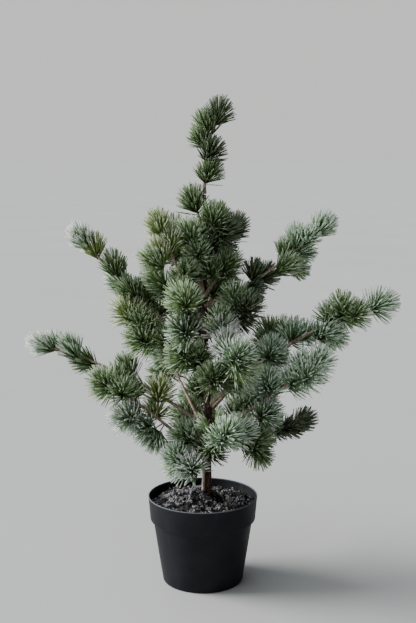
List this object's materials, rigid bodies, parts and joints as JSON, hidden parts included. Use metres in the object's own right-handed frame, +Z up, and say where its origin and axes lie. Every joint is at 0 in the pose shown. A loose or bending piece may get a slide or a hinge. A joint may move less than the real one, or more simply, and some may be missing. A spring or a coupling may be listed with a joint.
{
  "type": "artificial potted larch tree",
  "caption": "Slender artificial larch with airy boughs and round tufts of stiff needles, standing in a tapering black plastic pot filled with soil.",
  "frame": {"origin": "middle of the pot's flat underside", "axes": "+Z up along the trunk, -Y towards the front that the picture shows, +X to the right in that view"},
  "size_m": [0.6269, 0.435, 0.839],
  "materials": {
    "pot": "matte black moulded plastic",
    "soil": "dark crumbled soil over a weighted filling",
    "bark": "rough brown bark wrap",
    "needles": "matte green needles with frosted tips"
  },
  "bodies": {
    "root": {"pot": "pot", "soil": "soil", "trunk": "bark", "bough_low_left": "bark", "bough_left_long": "bark", "bough_mid_left": "bark", "bough_upper_left": "bark", "bough_steep_left": "bark", "bough_high_left_front": "bark", "bough_top_right": "bark", "bough_high_right_front": "bark", "bough_upper_right": "bark", "bough_mid_right_front": "bark", "bough_right_long": "bark", "bough_right_low_front": "bark", "bough_right_low_back": "bark", "bough_right_low": "bark", "bough_front_mid": "bark", "bough_front_high": "bark", "bough_front_left": "bark", "bough_front_upper": "bark", "bough_back_left_low": "bark", "bough_back_low": "bark", "bough_back_right": "bark", "bough_back_left_mid": "bark", "bough_back_mid": "bark", "bough_back_upper": "bark", "bough_back_high": "bark", "spray_leader": "needles", "spray_low_left": "needles", "spray_left_long": "needles", "spray_mid_left": "needles", "spray_upper_left": "needles", "spray_steep_left": "needles", "spray_high_left_front": "needles", "spray_top_left": "needles", "spray_top_front": "needles", "spray_top_right": "needles", "spray_high_right_front": "needles", "spray_upper_right": "needles", "spray_mid_right_front": "needles", "spray_right_long": "needles", "spray_right_low_front": "needles", "spray_right_low_back": "needles", "spray_right_low": "needles", "spray_front_low": "needles", "spray_low_front_left": "needles", "spray_front_mid": "needles", "spray_front_high": "needles", "spray_front_left": "needles", "spray_front_upper": "needles", "spray_back_left_low": "needles", "spray_back_low": "needles", "spray_back_right": "needles", "spray_back_left_mid": "needles", "spray_back_mid": "needles", "spray_back_upper": "needles", "spray_back_high": "needles"}
  },
  "joints": []
}
